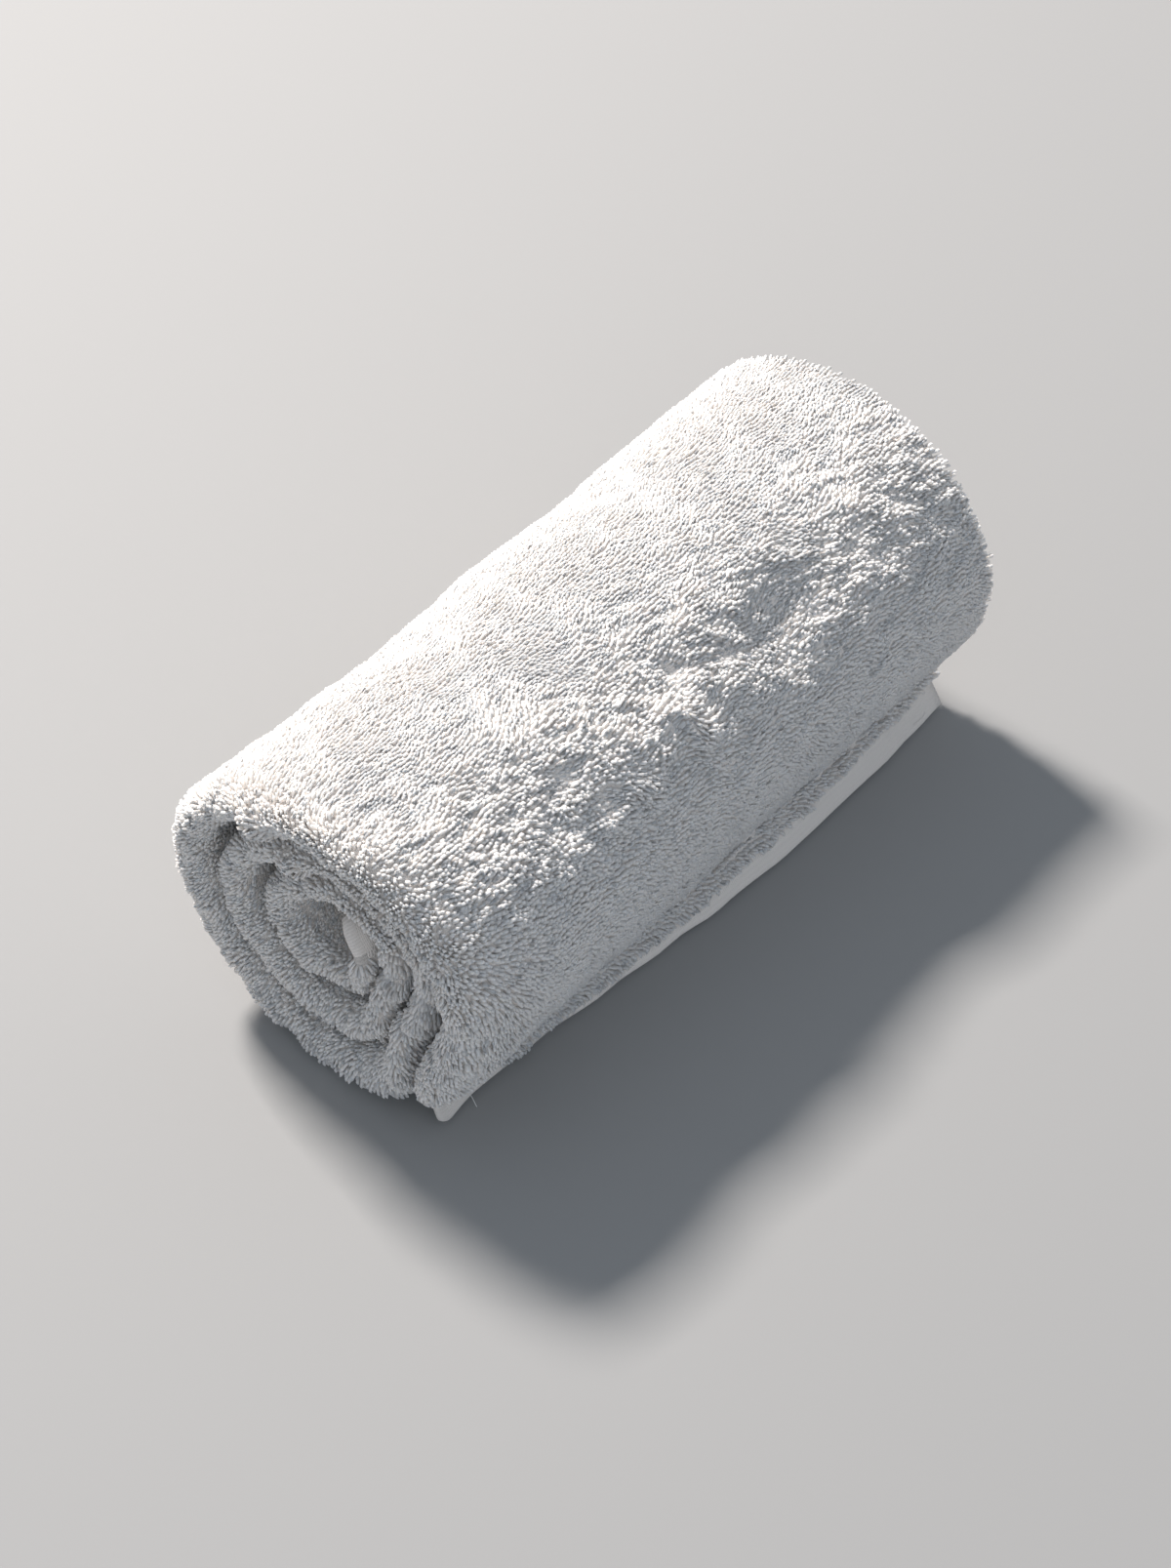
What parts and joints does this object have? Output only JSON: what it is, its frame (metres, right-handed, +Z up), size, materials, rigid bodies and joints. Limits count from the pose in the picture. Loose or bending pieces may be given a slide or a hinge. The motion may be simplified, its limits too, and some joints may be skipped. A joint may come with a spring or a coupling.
{
  "type": "rolled sports towel",
  "caption": "White deep-pile terry towel, doubled along its length and rolled up, lying on its side with its hemmed loose end along the base",
  "frame": {"origin": "on the surface that the roll lies on, under the middle of its bounding box", "axes": "+X runs along the roll from its folded end to its open-edged end, -Y is the side where the hemmed loose end lies, +Z is up"},
  "size_m": [0.2734, 0.1344, 0.1153],
  "materials": {
    "white_terry": "matt deep-pile cotton terry, warm white"
  },
  "bodies": {
    "root": {"towel": "white_terry"}
  },
  "joints": []
}
